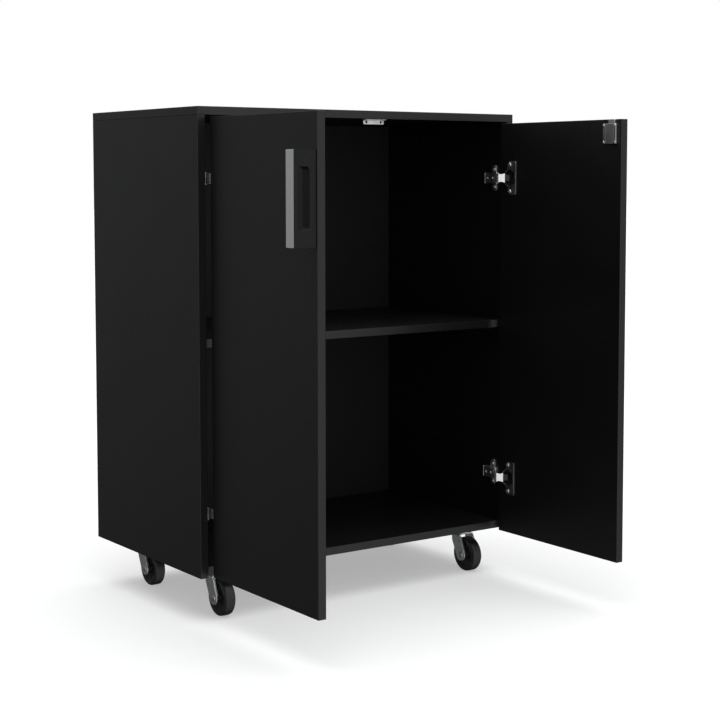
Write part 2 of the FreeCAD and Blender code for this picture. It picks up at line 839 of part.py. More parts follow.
def strike_plate():
    """A bent plate under the top board: a slotted leg for the bolt and a leg that hangs behind it."""
    right = "strike_width"
    back = "strike_back"
    body = new_body("strike")
    flat = new_sketch(body, "XY_Plane")
    draw_rectangle(flat, ("0", "0"), (right, f"{back} - strike_front"))
    pad(body, flat, "strike_sheet")
    leg = new_sketch(body, "XY_Plane")
    draw_rectangle(leg, ("0", f"{back} - strike_front - strike_sheet"), (right, f"{back} - strike_front"))
    down = pad(body, leg, "strike_drop - strike_sheet")
    down.Reversed = True
    place(body, ("strike_left", f"{FRONT} + strike_front", f"{TOP_UNDERSIDE} - strike_sheet"))
    slot = block(
        ("strike_slot_width", "strike_slot_depth", "strike_sheet"),
        (LOCK_SLOT_LEFT, LOCK_SLOT_FRONT, f"{TOP_UNDERSIDE} - strike_sheet"),
    )
    holes = [
        rod(
            "strike_hole_radius", "2 * strike_sheet",
            (f"strike_left + strike_width / 2 {side} strike_hole_spacing / 2",
             f"{FRONT} + strike_back - 2 * strike_sheet",
             f"{TOP_UNDERSIDE} - strike_drop / 2 - strike_sheet / 2"),
            "y",
        )
        for side in ("-", "+")
    ]
    return cut(body, slot, *holes)


def build_right_door():
    bore = ("barrel_radius + bore_play", LOCK_MIDDLE, BARREL_HEIGHT)
    keep("right_door_panel", door_board("right_door", [bore]))
    keep("lock_case", lock_case())
    keep("lock_screws", group([
        screw("small", "small_screw_length", start, "x")
        for start in lock_screw_starts()
    ]))
    keep("lock_barrel", lock_barrel())
    keep("lock_plug", lock_plug())
    keep("lock_bolt", block(
        ("lock_bolt_thickness", "lock_bolt_width", "lock_bolt_length"),
        (f"{DOOR_INSIDE} - lock_bolt_thickness - sliding_play",
         f"{DOOR_FREE_EDGE} + lock_bolt_setback - lock_bolt_width / 2", "door_top - lock_bolt_length"),
    ))
    keep("strike_plate", strike_plate())
    keep("strike_screws", group([
        screw(
            "small", "small_screw_length",
            (x, f"{FRONT} + (strike_front + strike_back) / 2", f"{TOP_UNDERSIDE} - strike_sheet"),
        )
        for x in ("strike_left + strike_screw_margin", "strike_left + strike_width - strike_screw_margin")
    ]))


# Casters: local origins on the floor under the swivel axis

def caster_plate(x, y):
    """The top plate with its pressed ball race, and the kingpin that carries the fork."""
    body = new_body("caster_plate")
    drawing = new_sketch(body, "XY_Plane")
    half = "caster_plate_width / 2"
    draw_rectangle(drawing, (f"-{half}", f"-{half}"), (half, half))
    for side_x in ("-", ""):
        for side_y in ("-", ""):
            centre = (f"{side_x}caster_screw_spacing / 2", f"{side_y}caster_screw_spacing / 2")
            draw_circle(drawing, "wood_screw_radius + bore_play", centre)
    pad(body, drawing, "caster_plate_thickness")
    turned = new_sketch(body, "XZ_Plane")
    low = "-race_height"
    head = "fork_top - fork_web - sliding_play - underside_height + caster_plate_thickness"
    draw_outline(turned, [
        ("0", "0"), ("race_radius", "0"), ("race_radius - race_shoulder", low), ("kingpin_radius", low),
        ("kingpin_radius", head),
        ("kingpin_head_radius", head),
        ("kingpin_head_radius", f"{head} - kingpin_head_height"), ("0", f"{head} - kingpin_head_height"),
    ])
    race = body.newObject("PartDesign::Revolution", "race")
    race.Profile = turned
    race.ReferenceAxis = (turned, ["V_Axis"])
    race.Angle = 360
    return place(body, (x, y, "underside_height - caster_plate_thickness"))


def caster_fork(x, y):
    """A bent sheet fork: a crown under the ball race and two side plates that trail to the axle."""
    body = new_body("caster_fork")
    legs = new_sketch(body, "YZ_Plane")
    draw_outline(legs, [
        ("-fork_front", "fork_top"),
        ("-wheel_trail - fork_end_radius + fork_front_inset", "wheel_radius + fork_front_rise"),
        ("-wheel_trail + fork_end_radius - fork_rear_inset", "wheel_radius - fork_rear_drop"),
        ("-wheel_trail + fork_heel", "wheel_radius"),
        ("fork_rear", "fork_top - fork_shoulder"),
        ("fork_rear", "fork_top"),
    ])
    pad(body, legs, "fork_width", symmetric=True)
    end = new_sketch(body, "YZ_Plane")
    draw_circle(end, "fork_end_radius", ("-wheel_trail", "wheel_radius"))
    pad(body, end, "fork_width", symmetric=True)
    throat = new_sketch(body, "YZ_Plane")
    draw_rectangle(throat, ("-2 * fork_width", "0"), ("2 * fork_width", "fork_top - fork_web"))
    pocket(body, throat, "fork_width - 2 * fork_sheet", symmetric=True)
    crown = new_sketch(body, "XZ_Plane")
    draw_outline(crown, [
        ("0", "fork_top - fork_web"),
        ("fork_width / 2", "fork_top - fork_web"),
        ("crown_radius", "fork_top"),
        ("crown_radius", "crown_top - crown_shoulder / 2"),
        ("crown_radius - crown_shoulder / 2", "crown_top"),
        ("0", "crown_top"),
    ])
    turned = body.newObject("PartDesign::Revolution", "crown")
    turned.Profile = crown
    turned.ReferenceAxis = (crown, ["V_Axis"])
    turned.Angle = 360
    bore = new_sketch(body, "XY_Plane", "crown_top")
    draw_circle(bore, "kingpin_radius + running_play", ("0", "0"))
    pocket(body, bore, "crown_top - fork_top + fork_web + cut_margin")
    axle = new_sketch(body, "YZ_Plane")
    draw_circle(axle, "axle_radius + axle_play", ("-wheel_trail", "wheel_radius"))
    draw_circle(axle, "fork_hole_radius", ("-fork_hole_trail", "fork_top - fork_hole_drop"))
    pocket(body, axle, "2 * fork_width", symmetric=True)
    return place(body, (x, y, "0"))


def caster_axle(x, y):
    """The riveted axle, with a head outside each side plate."""
    length = "fork_width + 2 * axle_head_height"
    start = f"{x} - fork_width / 2 - axle_head_height"
    centre = f"{y} - wheel_trail"
    shaft = rod("axle_radius", length, (start, centre, "wheel_radius"), "x")
    heads = [
        rod("axle_head_radius", "axle_head_height", (place_x, centre, "wheel_radius"), "x")
        for place_x in (start, f"{x} + fork_width / 2")
    ]
    return fuse(shaft, *heads)


def caster_wheel(x, y):
    """A moulded wheel turned about its axle: hub, thin web and a rim with a rounded tread."""
    body = new_body("caster_wheel")
    section = new_sketch(body, "XY_Plane")
    half_section = [
        ("hub_width / 2", "axle_radius + running_play"),
        ("hub_width / 2", "hub_radius"),
        ("wheel_web / 2", "hub_radius + web_slope"),
        ("wheel_web / 2", "tread_inner_radius - web_slope"),
        ("wheel_width / 2", "tread_inner_radius"),
        ("wheel_width / 2", "wheel_radius - tread_round"),
        ("wheel_width / 2 - tread_cut", "wheel_radius - tread_cut"),
        ("wheel_width / 2 - tread_round", "wheel_radius"),
    ]
    draw_outline(section, half_section + [(f"-({x_half})", r) for x_half, r in reversed(half_section)])
    turned = body.newObject("PartDesign::Revolution", "wheel")
    turned.Profile = section
    turned.ReferenceAxis = (section, ["H_Axis"])
    turned.Angle = 360
    return place(body, (x, f"{y} - wheel_trail", "wheel_radius"))


def build_casters():
    screws = []
    for name, (x, y) in CASTERS.items():
        keep(f"{name}_caster_plate", caster_plate(x, y))
        keep(f"{name}_caster_fork", caster_fork(x, y))
        keep(f"{name}_caster_axle", caster_axle(x, y))
        keep(f"{name}_caster_wheel", caster_wheel(x, y))
        for side_x in ("-", "+"):
            for side_y in ("-", "+"):
                start = (
                    f"{x} {side_x} caster_screw_spacing / 2",
                    f"{y} {side_y} caster_screw_spacing / 2",
                    "underside_height - caster_plate_thickness",
                )
                screws.append(screw("wood", "wood_screw_length", start))
    keep("caster_screws", group(screws))


def check_and_write():
    """Stop on any failed object or empty cut; write each sub-part to its own file."""
    doc.recompute()
    for thing in doc.Objects:
        if "Invalid" in thing.State or "Error" in thing.State:
            raise RuntimeError(f"{thing.Name} ({thing.Label}) failed: {thing.State}")
    for feature in pockets:
        if feature.Shape.Volume > feature.BaseFeature.Shape.Volume - 0.1:
            raise RuntimeError(f"{feature.Name} cuts nothing")
    os.makedirs("parts", exist_ok=True)
    for thing in sub_parts:
        shape = thing.Shape
        if shape.isNull() or not shape.isValid() or not shape.Solids:
            raise RuntimeError(f"{thing.Label} has no valid shape")
        shape.exportStep(f"parts/{thing.Label}.step")
        print(f"{thing.Label:32s} {len(shape.Solids):3d} solids {shape.Volume / 1000:10.2f} cm3")
    print(len(sub_parts), "sub-parts")


build_carcass()
build_hinges()
build_left_door()
build_right_door()
build_casters()
check_and_write()
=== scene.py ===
import math

import bmesh
import bpy
from mathutils import Matrix, Vector


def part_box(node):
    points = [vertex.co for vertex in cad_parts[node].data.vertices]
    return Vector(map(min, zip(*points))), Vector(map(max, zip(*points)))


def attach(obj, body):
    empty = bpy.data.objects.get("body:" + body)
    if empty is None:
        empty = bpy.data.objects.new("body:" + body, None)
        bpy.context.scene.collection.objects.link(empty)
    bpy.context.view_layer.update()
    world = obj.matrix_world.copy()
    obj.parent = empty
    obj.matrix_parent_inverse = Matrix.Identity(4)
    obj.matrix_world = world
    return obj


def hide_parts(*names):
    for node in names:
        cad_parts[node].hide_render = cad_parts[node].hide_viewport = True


# Looks of the rolling pedestal cabinet. The boards and the handle are the CAD's own, with laminate,
# plastic and brushed aluminium on them. Hinges, screws, lock, strike, pins, cams and casters are
# detailed pieces that stand for their CAD nodes. Shapes are drawn in millimetres and placed in metres.

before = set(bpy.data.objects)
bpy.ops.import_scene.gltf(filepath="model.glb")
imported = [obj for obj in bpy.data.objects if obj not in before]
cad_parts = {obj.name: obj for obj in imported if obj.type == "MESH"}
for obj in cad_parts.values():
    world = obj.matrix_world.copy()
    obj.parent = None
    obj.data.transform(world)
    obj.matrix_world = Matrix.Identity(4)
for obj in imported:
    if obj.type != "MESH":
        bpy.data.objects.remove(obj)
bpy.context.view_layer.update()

MM = 0.001
SIDES = {"right": 1, "left": -1}
LEVELS = ("upper", "lower")
CORNERS = ("front_left", "front_right", "rear_left", "rear_right")


# Camera: angles in degrees, lens in millimetres

CAMERA_PLACE = (-1.70276, -2.61851, 0.79735)
CAMERA_YAW = 35.449
CAMERA_PITCH = -4.323
CAMERA_LENS = 79.69
CAMERA_SHIFT = (-0.0178, -0.0910)
SENSOR_WIDTH = 36


def add_camera():
    data = bpy.data.cameras.new("camera")
    data.sensor_width = SENSOR_WIDTH
    data.lens = CAMERA_LENS
    data.shift_x, data.shift_y = CAMERA_SHIFT
    camera = bpy.data.objects.new("camera", data)
    camera.location = CAMERA_PLACE
    camera.rotation_euler = (math.radians(90 + CAMERA_PITCH), 0, math.radians(-CAMERA_YAW))
    bpy.context.scene.collection.objects.link(camera)
    bpy.context.scene.camera = camera


# Outlines: lists of 2-D points, in millimetres

TINY = 1e-4


def rounded(corners, radius=0.0, steps=5):
    """A closed outline whose corners (x, y) or (x, y, own radius) are rounded into arcs."""
    points = []
    count = len(corners)
    for number, corner in enumerate(corners):
        here = Vector(corner[:2])
        arc = corner[2] if len(corner) > 2 else radius
        if arc == 0:
            points.append(here)
            continue
        back = (Vector(corners[number - 1][:2]) - here).normalized()
        onward = (Vector(corners[(number + 1) % count][:2]) - here).normalized()
        half = back.angle(onward) / 2
        middle = here + (back + onward).normalized() * arc / math.sin(half)
        reach = arc / math.tan(half)
        first = here + back * reach - middle
        last = here + onward * reach - middle
        start = math.atan2(first.y, first.x)
        sweep = math.remainder(math.atan2(last.y, last.x) - start, math.tau)
        points += arc_points(middle, arc, start, sweep, steps)
    return distinct(points)


def distinct(points):
    """The closed outline without points that fall on the one before."""
    pairs = zip(points, points[-1:] + points[:-1])
    return [here for here, before in pairs if (here - before).length > TINY]


def arc_points(middle, radius, start, sweep, steps):
    angles = [start + sweep * step / steps for step in range(steps + 1)]
    return [Vector(middle) + radius * Vector((math.cos(a), math.sin(a))) for a in angles]


def circle(x, y, radius, steps):
    return arc_points((x, y), radius, 0, math.tau, steps)[:-1]


def rectangle(low_x, low_y, high_x, high_y, radius=0.0, steps=5):
    return rounded([(low_x, low_y), (high_x, low_y), (high_x, high_y), (low_x, high_y)], radius, steps)


def slot_outline(x, y, length, width):
    """A slot with round ends, its length along the outline's Y."""
    long, wide = length / 2, width / 2
    return rectangle(x - wide, y - long, x + wide, y + long, wide * 0.999, 8)


def inset(outline, distance):
    """An anticlockwise outline drawn in by a distance; a hole, drawn clockwise, grows."""
    points = []
    for number, here in enumerate(outline):
        before = (here - outline[number - 1]).normalized()
        after = (outline[(number + 1) % len(outline)] - here).normalized()
        left = Vector((-before.y - after.y, before.x + after.x))
        points.append(here + left * distance * 2 / left.length_squared)
    return points


def ribbon(path, half):
    """The outline of a strap that follows a path, as wide as two halves."""
    sides = ([], [])
    for number, here in enumerate(path):
        before = path[max(number - 1, 0)]
        after = path[min(number + 1, len(path) - 1)]
        along = (after - before).normalized()
        across = Vector((-along.y, along.x)) * half
        sides[0].append(here - across)
        sides[1].append(here + across)
    return sides[0] + sides[1][::-1]


# Solids: bmeshes in millimetres

STILL = Matrix.Identity(4)
SIDEWAYS = Matrix(((0, 0, 1, 0), (1, 0, 0, 0), (0, 1, 0, 0), (0, 0, 0, 1)))  # X, Y, Z become Y, Z, X
FORWARD = Matrix(((1, 0, 0, 0), (0, 0, -1, 0), (0, 1, 0, 0), (0, 0, 0, 1)))  # X, Y, Z become X, Z, -Y


def plate(outline, thickness, edge=0.3, holes=(), steps=3):
    """A plate from Z 0 up with rounded edges. Its outline and its holes are drawn anticlockwise."""
    shape = bmesh.new()
    quarter = [math.pi / 2 * step / steps for step in range(steps + 1)]
    low = [(edge * (1 - math.sin(a)), edge * (1 - math.cos(a))) for a in quarter]
    levels = low + [(inward, thickness - height) for inward, height in reversed(low)]
    rims = ([], [])
    for loop in [outline] + [hole[::-1] for hole in holes]:
        rings = []
        for inward, height in levels:
            rings.append([shape.verts.new((*point, height)) for point in inset(loop, inward)])
        count = len(loop)
        for under, over in zip(rings, rings[1:]):
            for number in range(count):
                after = (number + 1) % count
                shape.faces.new((under[number], under[after], over[after], over[number]))
        for rim, ring in zip(rims, (rings[0], rings[-1])):
            rim += [shape.edges.get((ring[number - 1], ring[number])) for number in range(count)]
    for rim in rims:
        bmesh.ops.triangle_fill(shape, use_beauty=True, edges=rim)
    bmesh.ops.recalc_face_normals(shape, faces=shape.faces)
    return shape


def lathe(profile, steps=48):
    """A solid turned about Z from a closed profile of (radius, height) points."""
    shape = bmesh.new()
    rings = []
    for radius, height in profile:
        count = steps if radius > TINY else 1
        angles = [math.tau * step / steps for step in range(count)]
        rings.append([shape.verts.new((radius * math.cos(a), radius * math.sin(a), height)) for a in angles])
    for low, high in zip(rings, rings[1:] + rings[:1]):
        if len(low) == len(high) == 1:
            continue
        for step in range(steps):
            after = step + 1
            corners = (
                low[step % len(low)], low[after % len(low)],
                high[after % len(high)], high[step % len(high)],
            )
            shape.faces.new(tuple(dict.fromkeys(corners)))
    bmesh.ops.recalc_face_normals(shape, faces=shape.faces)
    return shape


def moved(shape, matrix):
    copy = shape.copy()
    copy.transform(matrix)
    if matrix.determinant() < 0:
        bmesh.ops.reverse_faces(copy, faces=copy.faces)
    return copy


def shifted(shape, x=0, y=0, z=0):
    return moved(shape, Matrix.Translation((x, y, z)))


def joined(shapes):
    """Several solids side by side in one bmesh, each face keeping its material's number."""
    whole = bmesh.new()
    for shape in shapes:
        mesh = bpy.data.meshes.new("shape")
        shape.to_mesh(mesh)
        whole.from_mesh(mesh)
        bpy.data.meshes.remove(mesh)
    return whole


def painted(shape, number):
    for face in shape.faces:
        face.material_index = number
    return shape


def combined(base, tool, operation):
    """Two solids united, or the tool cut out of the base."""
    things = []
    for shape in (base, tool):
        mesh = bpy.data.meshes.new("shape")
        shape.to_mesh(mesh)
        thing = bpy.data.objects.new("shape", mesh)
        bpy.context.scene.collection.objects.link(thing)
        things.append(thing)
    change = things[0].modifiers.new("change", "BOOLEAN")
    change.object = things[1]
    change.operation = operation
    change.solver = "EXACT"
    graph = bpy.context.evaluated_depsgraph_get()
    result = bmesh.new()
    result.from_object(things[0], graph)
    for thing in things:
        mesh = thing.data
        bpy.data.objects.remove(thing)
        bpy.data.meshes.remove(mesh)
    bmesh.ops.dissolve_degenerate(result, dist=TINY, edges=result.edges)
    if not result.faces:
        raise ValueError(f"{operation} leaves no faces")
    return result


def carved(base, *tools):
    return combined(base, joined(tools), "DIFFERENCE")


def united(first, *others):
    for other in others:
        first = combined(first, other, "UNION")
    return first


# Pieces

SMOOTH_ANGLE = 46  # degrees; a sharper fold stays a crease
WELD = 1e-6  # metres


def add_piece(name, shapes, materials, body, nodes, place):
    """One piece made of shapes, placed by a matrix, that rides on a body and stands for CAD nodes."""
    whole = moved(joined(shapes), place)
    mesh = bpy.data.meshes.new(name)
    whole.to_mesh(mesh)
    for material in materials:
        mesh.materials.append(material)
    mesh.shade_smooth()
    mesh.set_sharp_from_angle(angle=math.radians(SMOOTH_ANGLE))
    piece = bpy.data.objects.new(name, mesh)
    bpy.context.scene.collection.objects.link(piece)
    normals = piece.modifiers.new("normals", "WEIGHTED_NORMAL")
    normals.keep_sharp = True
    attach(piece, body)
    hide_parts(*nodes)
    return piece


def at(point, mirror=1, turn=None):
    """Puts a shape in millimetres at a point in metres; a mirror of -1 flips it along X."""
    size = Matrix.Diagonal((MM * mirror, MM, MM, 1))
    return Matrix.Translation(point) @ size @ (turn or STILL)


def centre(node):
    low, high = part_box(node)
    return (low + high) / 2


def solid_boxes(node):
    """The box, in metres, of each separate solid in a CAD node that holds a group."""
    shape = bmesh.new()
    shape.from_mesh(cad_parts[node].data)
    bmesh.ops.remove_doubles(shape, verts=shape.verts, dist=WELD)
    left = set(shape.verts)
    boxes = []
    while left:
        found = [left.pop()]
        for vert in found:
            near = {link.other_vert(vert) for link in vert.link_edges} & left
            left -= near
            found += near
        low = Vector([min(vert.co[axis] for vert in found) for axis in range(3)])
        high = Vector([max(vert.co[axis] for vert in found) for axis in range(3)])
        boxes.append((low, high))
    shape.free()
    return sorted(boxes, key=lambda pair: tuple(round(value, 5) for value in pair[0]))


# Materials

def new_material(name, colour, roughness, metallic=0.0):
    """A Principled material with its even values on the shader's own sockets."""
    material = bpy.data.materials.new(name)
    material.use_nodes = True
    shader = material.node_tree.nodes["Principled BSDF"]
    shader.inputs["Base Color"].default_value = (*colour, 1)
    shader.inputs["Roughness"].default_value = roughness
    shader.inputs["Metallic"].default_value = metallic
    return material, material.node_tree, shader


def add_node(tree, kind, inputs=None, **settings):
    node = tree.nodes.new(kind)
    for key, value in settings.items():
        setattr(node, key, value)
    for key, value in (inputs or {}).items():
        if isinstance(value, bpy.types.NodeSocket):
            tree.links.new(value, node.inputs[key])
        else:
            node.inputs[key].default_value = value
    return node


def object_point(tree, stretch=(1, 1, 1)):
    """The surface point in the object's own metres, stretched along each axis."""
    point = add_node(tree, "ShaderNodeTexCoord").outputs["Object"]
    return add_node(tree, "ShaderNodeMapping", {"Vector": point, "Scale": stretch}).outputs["Vector"]


def noise(tree, scale, detail=2.0, stretch=(1, 1, 1), roughness=0.5):
    point = object_point(tree, stretch)
    texture = add_node(
        tree, "ShaderNodeTexNoise",
        {"Vector": point, "Scale": scale, "Detail": detail, "Roughness": roughness},
    )
    return texture.outputs["Fac"]


def remap(tree, value, low, high, new_low, new_high):
    node = add_node(
        tree, "ShaderNodeMapRange",
        {"Value": value, "From Min": low, "From Max": high, "To Min": new_low, "To Max": new_high},
    )
    return node.outputs["Result"]


def blended(tree, share, first, second):
    """A colour that runs from the first to the second with the share."""
    node = add_node(tree, "ShaderNodeMix", data_type="RGBA")
    for socket, value in ((0, share), (6, first), (7, second)):
        if isinstance(value, bpy.types.NodeSocket):
            tree.links.new(value, node.inputs[socket])
        else:
            node.inputs[socket].default_value = (*value, 1) if socket else value
    return node.outputs[2]


def arithmetic(tree, operation, first, second):
    node = add_node(tree, "ShaderNodeMath", operation=operation)
    for socket, value in enumerate((first, second)):
        if isinstance(value, bpy.types.NodeSocket):
            tree.links.new(value, node.inputs[socket])
        else:
            node.inputs[socket].default_value = value
    return node.outputs[0]


def bump(tree, shader, heights):
    """Bumps laid over one another; each height comes with its depth in metres."""
    normal = None
    for height, depth in heights:
        inputs = {"Height": height, "Distance": depth}
        if normal:
            inputs["Normal"] = normal
        normal = add_node(tree, "ShaderNodeBump", inputs).outputs["Normal"]
    tree.links.new(normal, shader.inputs["Normal"])


def laminate(name, thin_axis):
    """Matt black melamine on a board: fine pearl grain on the faces, smoother edge bands with a seam."""
    face, band = (0.0026, 0.0026, 0.0029), (0.0034, 0.0034, 0.0036)
    material, tree, shader = new_material(name, face, 0.4)
    normal = add_node(tree, "ShaderNodeTexCoord").outputs["Normal"]
    parts = add_node(tree, "ShaderNodeSeparateXYZ", {"Vector": normal})
    facing = arithmetic(tree, "ABSOLUTE", parts.outputs[thin_axis], 0)
    on_band = remap(tree, facing, 0.35, 0.1, 0, 1)
    seam = arithmetic(
        tree, "MULTIPLY",
        remap(tree, facing, 0.45, 0.6, 0, 1),
        remap(tree, facing, 0.9, 0.75, 0, 1),
    )
    cloud = noise(tree, 5, 3)
    grain = noise(tree, 700, 3, roughness=0.6)
    pearl = noise(tree, 1500, 2)
    shade = blended(tree, cloud, [0.86 * part for part in face], [1.14 * part for part in face])
    shade = blended(tree, remap(tree, grain, 0.55, 0.72, 0, 0.4), shade, [1.7 * part for part in face])
    shade = blended(tree, on_band, shade, band)
    shade = blended(tree, seam, shade, (0.003, 0.003, 0.003))
    tree.links.new(shade, shader.inputs["Base Color"])
    rough = remap(tree, noise(tree, 9, 4), 0.3, 0.7, 0.37, 0.43)
    rough = arithmetic(tree, "ADD", rough, remap(tree, grain, 0.3, 0.7, -0.03, 0.04))
    rough = arithmetic(tree, "SUBTRACT", rough, arithmetic(tree, "MULTIPLY", on_band, 0.07))
    tree.links.new(rough, shader.inputs["Roughness"])
    bump(tree, shader, [(pearl, 0.00002), (grain, 0.000015)])
    return material


def hardboard():
    """Black lacquered hardboard, with the fine weave that its press screen leaves."""
    material, tree, shader = new_material("black_hardboard", (0.008, 0.008, 0.0085), 0.6)
    shader.inputs["Specular IOR Level"].default_value = 0.3
    warp = add_node(tree, "ShaderNodeTexWave", {
        "Vector": object_point(tree), "Scale": 160, "Distortion": 1.5, "Detail": 2,
    }, bands_direction="X")
    weft = add_node(tree, "ShaderNodeTexWave", {
        "Vector": object_point(tree), "Scale": 160, "Distortion": 1.5, "Detail": 2,
    }, bands_direction="Z")
    weave = arithmetic(tree, "MULTIPLY", warp.outputs["Fac"], weft.outputs["Fac"])
    fibres = noise(tree, 260, 4, stretch=(1, 1, 0.35))
    shade = blended(tree, fibres, (0.006, 0.006, 0.0064), (0.0105, 0.0104, 0.0106))
    tree.links.new(shade, shader.inputs["Base Color"])
    tree.links.new(remap(tree, fibres, 0.3, 0.7, 0.54, 0.68), shader.inputs["Roughness"])
    bump(tree, shader, [(weave, 0.00004), (fibres, 0.00006)])
    return material


def moulded(name, colour, roughness, grain_scale=2200, grain_depth=0.00003, specular=0.5):
    """Moulded plastic or rubber with an even spark-eroded grain and faint handling marks."""
    material, tree, shader = new_material(name, colour, roughness)
    shader.inputs["Specular IOR Level"].default_value = specular
    grain = noise(tree, grain_scale, 3, roughness=0.65)
    marks = noise(tree, 45, 4)
    dark, light = [0.8 * part for part in colour], [1.3 * part for part in colour]
    shade = blended(tree, remap(tree, grain, 0.35, 0.7, 0, 1), dark, light)
    tree.links.new(shade, shader.inputs["Base Color"])
    rough = remap(tree, marks, 0.35, 0.7, roughness - 0.05, roughness + 0.08)
    tree.links.new(rough, shader.inputs["Roughness"])
    bump(tree, shader, [(grain, grain_depth)])
    return material


def brushed_aluminium():
    """Satin anodised aluminium brushed along its length."""
    colour = (0.9, 0.905, 0.92)
    material, tree, shader = new_material("satin_aluminium", colour, 0.45, 1.0)
    shader.inputs["Anisotropic"].default_value = 0.5
    lines = noise(tree, 1, 3, stretch=(4200, 4200, 28), roughness=0.7)
    broad = noise(tree, 1, 2, stretch=(900, 900, 9))
    shade = blended(tree, lines, [0.9 * part for part in colour], [1.08 * part for part in colour])
    normal = add_node(tree, "ShaderNodeTexCoord").outputs["Normal"]
    across = add_node(tree, "ShaderNodeSeparateXYZ", {"Vector": normal}).outputs["X"]
    on_face = remap(tree, arithmetic(tree, "ABSOLUTE", across, 0), 0.55, 0.8, 0, 1)
    shade = blended(tree, on_face, (0.035, 0.035, 0.036), shade)
    tree.links.new(shade, shader.inputs["Base Color"])
    rough = remap(tree, broad, 0.3, 0.7, 0.41, 0.5)
    tree.links.new(rough, shader.inputs["Roughness"])
    bump(tree, shader, [(lines, 0.00001)])
    return material


def plated(name, colour, roughness, spangle=0.12, pits=0.00001, spangle_scale=260):
    """Plated steel: patches of crystal, a slightly uneven sheen, fine scratches and dulled lows."""
    material, tree, shader = new_material(name, colour, roughness, 1.0)
    patches = add_node(tree, "ShaderNodeTexVoronoi", {
        "Vector": object_point(tree), "Scale": spangle_scale, "Randomness": 1.0,
    })
    tone = add_node(tree, "ShaderNodeSeparateXYZ", {"Vector": patches.outputs["Color"]}).outputs[0]
    cloud = noise(tree, 60, 4)
    scratches = noise(tree, 1, 2, stretch=(3000, 120, 3000), roughness=0.7)
    mixed = remap(tree, tone, 0, 1, 0, spangle * 2)
    shade = blended(tree, mixed, colour, [part * 0.72 for part in colour])
    shade = blended(tree, remap(tree, cloud, 0.45, 0.75, 0, 0.5), shade, [part * 0.8 for part in colour])
    tree.links.new(shade, shader.inputs["Base Color"])
    rough = remap(tree, cloud, 0.3, 0.7, roughness - 0.05, roughness + 0.09)
    rough = arithmetic(tree, "ADD", rough, remap(tree, scratches, 0.5, 0.8, 0, 0.1))
    tree.links.new(rough, shader.inputs["Roughness"])
    bump(tree, shader, [(noise(tree, 1800, 2), pits), (scratches, 0.000004)])
    return material


LAMINATE_X = laminate("black_laminate_upright", "X")
LAMINATE_Z = laminate("black_laminate_flat", "Z")
HARDBOARD = hardboard()
PLASTIC = moulded("black_plastic", (0.0045, 0.0045, 0.005), 0.46, specular=0.24)
TYRE = moulded("black_tyre", (0.006, 0.006, 0.0065), 0.42, 900, 0.00005)
CORE = moulded("black_wheel_core", (0.007, 0.007, 0.0075), 0.36, 1800, 0.00002)
ALUMINIUM = brushed_aluminium()
NICKEL = plated("nickel_steel", (0.80, 0.795, 0.78), 0.31)
# The link's plating is a lighter copy of the hinge nickel: a painted highlight on the link.
LINK_STEEL_PAINTED_BRIGHT = plated("nickel_steel_painted_highlight", (0.93, 0.925, 0.91), 0.27)
# Black plastic for the hinge's damper cases, also used as painted shade on the cup's lining and on the link's
# end inside the cup.
DAMPER_AND_PAINTED_SHADE = moulded("black_damper_and_painted_shade", (0.006, 0.006, 0.006), 0.5)
LOCK_METAL = plated("lock_metal", (0.50, 0.50, 0.505), 0.32, 0.05)
ZINC = plated("zinc_fasteners", (0.62, 0.62, 0.60), 0.30, 0.2)
ZINC_STEEL = plated("zinc_steel", (0.82, 0.825, 0.83), 0.33, 0.25)
CAST_ZINC = plated("cast_zinc", (0.045, 0.045, 0.047), 0.55, 0.1, 0.00006, 90)


def dress_cad_nodes():
    """Materials for the CAD nodes whose own shape shows."""
    finishes = {
        "top_panel": LAMINATE_Z,
        "bottom_panel": LAMINATE_Z,
        "shelf": LAMINATE_Z,
        "left_side_panel": LAMINATE_X,
        "right_side_panel": LAMINATE_X,
        "left_door_panel": LAMINATE_X,
        "right_door_panel": LAMINATE_X,
        "back_panel": HARDBOARD,
        "handle_body": PLASTIC,
        "handle_face": ALUMINIUM,
        "cam_bolts": ZINC,
    }
    for node, material in finishes.items():
        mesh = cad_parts[node].data
        mesh.materials.clear()
        mesh.materials.append(material)


# Screws

TALL_HEAD, MIDDLE_HEAD, LOW_HEAD = 2.5, 1.8, 1.1
SHANK = 0.48  # of the head's radius
SHORTEST_SHANK = 0.5  # below this, only the head is drawn
SCREW_TURN = 0.7  # radians from one screw's slots to the next one's


def screw(head_radius, head_height, shank_radius, length):
    """A pan-head screw with a cross recess, its head from Z 0 up and its point down."""
    crown = head_height * 0.55
    head = lathe(rounded([
        (0, -0.2), (head_radius, -0.2), (head_radius, head_height - crown, crown * 0.6),
        (head_radius * 0.72, head_height, crown * 1.1), (0, head_height),
    ], steps=4), 40)
    arm = head_radius * 0.62
    slit = head_radius * 0.1
    depth = head_height * 0.75
    blade = plate(rectangle(-arm, -slit, arm, slit), 2 * depth, 0)
    for vert in blade.verts:
        if vert.co.z < depth:
            vert.co.x *= 0.35
            vert.co.y *= 0.8
    blade = shifted(blade, z=head_height - depth)
    crossed = moved(blade, Matrix.Rotation(math.pi / 2, 4, "Z"))
    head = carved(head, united(blade, crossed))
    if length <= SHORTEST_SHANK:
        return head
    shank = lathe([
        (0, 0), (shank_radius, 0), (shank_radius, -length + shank_radius * 2), (shank_radius * 0.15, -length),
        (0, -length),
    ], 20)
    return joined([head, shank])


